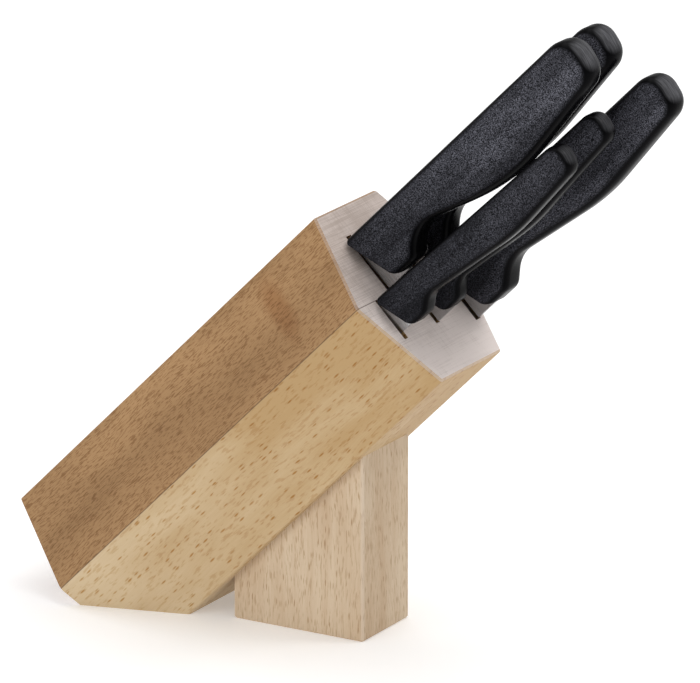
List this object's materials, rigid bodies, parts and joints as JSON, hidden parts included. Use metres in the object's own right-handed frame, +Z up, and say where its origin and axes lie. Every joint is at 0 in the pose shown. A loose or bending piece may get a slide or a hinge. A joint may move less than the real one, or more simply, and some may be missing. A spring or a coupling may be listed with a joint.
{
  "type": "knife block with knives",
  "caption": "Leaning wooden knife block on an upright foot, with black-handled kitchen knives that slide out of saw-cut slots.",
  "frame": {"origin": "centre of the foot's underside, on the floor", "axes": "+Z up, +X the way the block leans up and the knives come out, +Y across the block, so that the knives' blades lie in planes square to Y"},
  "size_m": [0.2543, 0.0734, 0.24],
  "materials": {
    "beech_upper": "satin oiled beech, reddish, fine short flecks along the grain",
    "beech_lower": "satin oiled beech, pale yellow, short flecks along the grain",
    "beech_foot": "satin oiled beech, pinkish tan, grain upright",
    "dowel": "plain turned beech",
    "blade_steel": "finely ground stainless steel",
    "handle_plastic": "black moulded plastic, finely grained sides and smoother rim"
  },
  "bodies": {
    "block": {"block_upper_half": "beech_upper", "block_lower_half": "beech_lower", "foot": "beech_foot", "foot_dowel_low": "dowel", "foot_dowel_high": "dowel"},
    "paring_knife": {"paring_knife_blade": "blade_steel", "paring_knife_handle": "handle_plastic"},
    "chefs_knife": {"chefs_knife_blade": "blade_steel", "chefs_knife_handle": "handle_plastic"},
    "tomato_knife": {"tomato_knife_blade": "blade_steel", "tomato_knife_handle": "handle_plastic"},
    "bread_knife": {"bread_knife_blade": "blade_steel", "bread_knife_handle": "handle_plastic"},
    "carving_knife": {"carving_knife_blade": "blade_steel", "carving_knife_handle": "handle_plastic"}
  },
  "joints": [
    {"name": "paring_knife_draw", "type": "slide", "parent": "block", "child": "paring_knife", "axis": [0.7071, 0, 0.7071], "range_m": [0, 0.095]},
    {"name": "chefs_knife_draw", "type": "slide", "parent": "block", "child": "chefs_knife", "axis": [0.7071, 0, 0.7071], "range_m": [0, 0.165]},
    {"name": "tomato_knife_draw", "type": "slide", "parent": "block", "child": "tomato_knife", "axis": [0.7071, 0, 0.7071], "range_m": [0, 0.125]},
    {"name": "bread_knife_draw", "type": "slide", "parent": "block", "child": "bread_knife", "axis": [0.7071, 0, 0.7071], "range_m": [0, 0.18]},
    {"name": "carving_knife_draw", "type": "slide", "parent": "block", "child": "carving_knife", "axis": [0.7071, 0, 0.7071], "range_m": [0, 0.165]}
  ]
}
